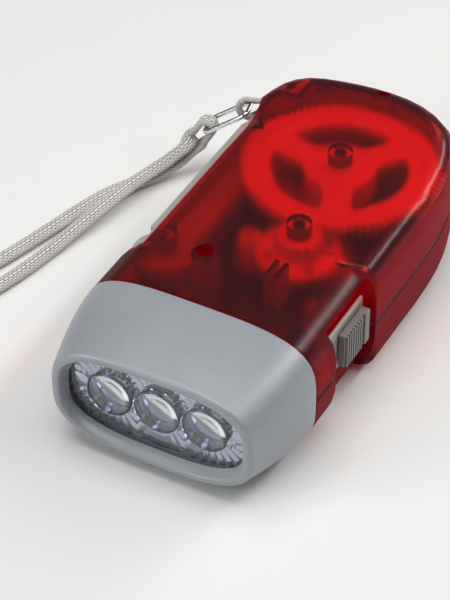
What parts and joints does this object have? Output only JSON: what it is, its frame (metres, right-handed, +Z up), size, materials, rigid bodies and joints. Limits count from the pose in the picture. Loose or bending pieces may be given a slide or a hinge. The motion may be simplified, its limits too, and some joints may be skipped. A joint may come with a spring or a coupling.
{
  "type": "hand squeeze dynamo torch",
  "caption": "Pocket torch with a red see-through body, a grey lamp head and a side lever that is squeezed to turn a gear train and generator, with a slide switch and wrist strap",
  "frame": {"origin": "Middle of the flat underside of the body, halfway between the lamp rim and the tail.", "axes": "+Y runs back from the lamp to the strap end, +X to the side with the slide switch, -X to the side with the squeeze lever, +Z up."},
  "size_m": [0.0985, 0.1092, 0.028],
  "materials": {
    "shell_red": "clear red tinted moulding, polished outside",
    "head_grey": "light grey moulding, fine satin surface",
    "lever_grey": "light grey moulding, fine satin surface",
    "switch_grey": "light grey moulding, satin",
    "lens_clear": "clear polished plastic",
    "lamp_clear": "clear cast epoxy",
    "reflector_bright": "vacuum metallised moulding",
    "board_green": "circuit board with lacquer",
    "gear_white": "natural white acetal moulding",
    "magnet_dark": "sintered magnet",
    "steel": "drawn bright wire and pins",
    "core_steel": "stamped laminations",
    "copper_wire": "enamelled copper winding",
    "battery_wrap": "shrunk plastic sleeve",
    "link_chrome": "bright plated wire",
    "braid": "flat woven polyester braid"
  },
  "bodies": {
    "torch_body": {"upper_shell": "shell_red", "lower_shell": "shell_red", "head_bezel": "head_grey", "lens": "lens_clear", "reflector": "reflector_bright", "led_left": "lamp_clear", "led_centre": "lamp_clear", "led_right": "lamp_clear", "led_board": "board_green", "lever_pivot_pin": "steel", "return_spring": "steel", "main_axle": "steel", "second_axle": "steel", "rotor_axle": "steel", "stator_core": "core_steel", "coil_bobbin": "gear_white", "coil_winding": "copper_wire", "battery_pack": "battery_wrap", "circuit_board": "board_green", "switch_plate": "switch_grey", "switch_body": "core_steel", "case_screw_front": "steel", "case_screw_tail": "steel", "strap_pin": "steel", "strap_tether": "braid", "strap_link": "link_chrome", "strap_hitch": "braid", "strap_cord": "braid"},
    "lever": {"squeeze_lever": "lever_grey"},
    "drive_pinion_body": {"drive_pinion": "gear_white"},
    "main_gear_body": {"main_gear": "gear_white"},
    "second_gear_body": {"second_gear": "gear_white"},
    "rotor": {"rotor_pinion": "gear_white", "rotor_magnet": "magnet_dark"},
    "switch_slider": {"switch_knob": "switch_grey"}
  },
  "joints": [
    {"name": "rotor_spin", "type": "hinge", "parent": "torch_body", "child": "rotor", "pos_m": [-0.00579, 0.00012, 0.01], "axis": [0, 0, 1], "range_deg": [-4533.33, 0]},
    {"name": "lever_squeeze", "type": "hinge", "parent": "torch_body", "child": "lever", "pos_m": [-0.01841, -0.01288, 0.012], "axis": [0, 0, 1], "range_deg": [0, 30.01]},
    {"name": "drive_pinion_spin", "type": "hinge", "parent": "torch_body", "child": "drive_pinion_body", "pos_m": [0.0016, 0.0254, 0.014], "axis": [0, 0, 1], "range_deg": [-240.05, 0]},
    {"name": "main_gear_spin", "type": "hinge", "parent": "torch_body", "child": "main_gear_body", "pos_m": [0.0016, 0.0254, 0.022], "axis": [0, 0, 1], "range_deg": [-240.05, 0]},
    {"name": "second_gear_spin", "type": "hinge", "parent": "torch_body", "child": "second_gear_body", "pos_m": [0.00479, 0.00086, 0.02], "axis": [0, 0, 1], "range_deg": [0, 1066.87]},
    {"name": "switch_slide", "type": "slide", "parent": "torch_body", "child": "switch_slider", "axis": [0, -1, 0], "range_m": [0, 0.0024]}
  ],
  "couplings": [
    {"joint": "lever_squeeze", "follows": "rotor_spin", "ratio": -0.0066177},
    {"joint": "drive_pinion_spin", "follows": "rotor_spin", "ratio": 0.052941},
    {"joint": "main_gear_spin", "follows": "rotor_spin", "ratio": 0.052941},
    {"joint": "second_gear_spin", "follows": "rotor_spin", "ratio": -0.23529}
  ]
}
